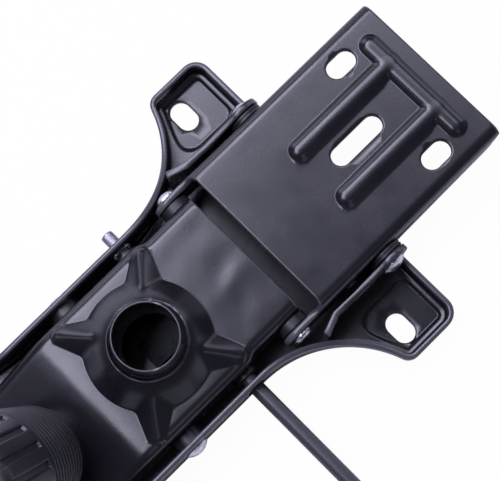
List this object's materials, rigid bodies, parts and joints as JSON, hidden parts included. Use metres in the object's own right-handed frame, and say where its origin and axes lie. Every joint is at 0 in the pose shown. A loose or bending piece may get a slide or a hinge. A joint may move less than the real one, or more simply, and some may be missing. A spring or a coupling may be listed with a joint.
{
  "type": "office chair mechanism",
  "caption": "Pressed steel synchro tilt mechanism with column socket, back bracket, side lever and spring tension knob, lying underside up.",
  "frame": {"origin": "centre of the mouth of the column socket", "axes": "+Z out of the column socket (the underside of the chair, so the seat face looks down), +Y towards the backrest, +X towards the lever"},
  "size_m": [0.289, 0.304, 0.1121],
  "materials": {
    "black_paint": "satin",
    "zinc": "bright zinc plate",
    "bare_steel": "oiled",
    "spring_steel": "dark oiled",
    "rod_steel": "satin",
    "black_plastic": "moulded"
  },
  "bodies": {
    "seat": {"seat_plate": "black_paint", "seat_lug_left": "black_paint", "seat_lug_right": "black_paint", "front_pivot_pin": "zinc", "front_pivot_push_nut": "zinc", "front_spacer_bushes": "black_plastic", "rear_pivot_pins": "zinc", "rear_pivot_rings": "zinc", "bolt_anchor": "black_paint", "tension_bolt": "bare_steel"},
    "bracket": {"back_bracket": "black_paint", "mid_pivot_axle": "zinc", "axle_push_nut": "zinc", "rear_pivot_bushes": "black_plastic", "stop_rivets": "zinc"},
    "housing": {"column_housing": "black_paint", "column_tube": "black_paint", "socket_brace": "black_paint", "lever_bushes": "black_plastic", "mid_pivot_bushes": "black_plastic", "spring_seat": "black_plastic", "tension_spring": "spring_steel"},
    "valve_tab": {"gas_lift_tab": "bare_steel"},
    "lever": {"lever_rod": "rod_steel", "lever_clip": "zinc", "lever_handle": "black_plastic"},
    "knob_carrier": {"thrust_washer": "zinc", "spring_sleeve": "black_plastic"},
    "knob": {"tension_knob": "black_plastic", "knob_nut": "zinc", "knob_cap": "black_plastic"}
  },
  "joints": [
    {"name": "back_recline", "type": "hinge", "parent": "seat", "child": "bracket", "pos_m": [0, 0.1002, -0.0355], "axis": [1, 0, 0], "range_deg": [0, 11.3], "stiffness_Nm_per_rad": 40, "springref_deg": -6.88, "deforming": ["tension_spring"]},
    {"name": "housing_swing", "type": "hinge", "parent": "bracket", "child": "housing", "pos_m": [0, 0.0493, -0.0355], "axis": [1, 0, 0], "range_deg": [-20, 0]},
    {"name": "valve_press", "type": "hinge", "parent": "housing", "child": "valve_tab", "pos_m": [0, 0.0192, -0.042], "axis": [1, 0, 0], "range_deg": [-15, 0]},
    {"name": "lever_pull", "type": "slide", "parent": "valve_tab", "child": "lever", "axis": [1, 0, 0], "range_m": [0, 0.008]},
    {"name": "knob_travel", "type": "slide", "parent": "seat", "child": "knob_carrier", "axis": [0, -0.3907, 0.9205], "range_m": [-0.00076, 0.00451]},
    {"name": "knob_turn", "type": "hinge", "parent": "knob_carrier", "child": "knob", "pos_m": [0, -0.065, -0.03631], "axis": [0, -0.3907, 0.9205], "range_deg": [-180, 1080], "deforming": ["tension_spring"]}
  ],
  "couplings": [
    {"joint": "housing_swing", "follows": "back_recline", "ratio": -1.7434},
    {"joint": "knob_travel", "follows": "knob_turn", "m_per_rad": 0.00023873}
  ]
}
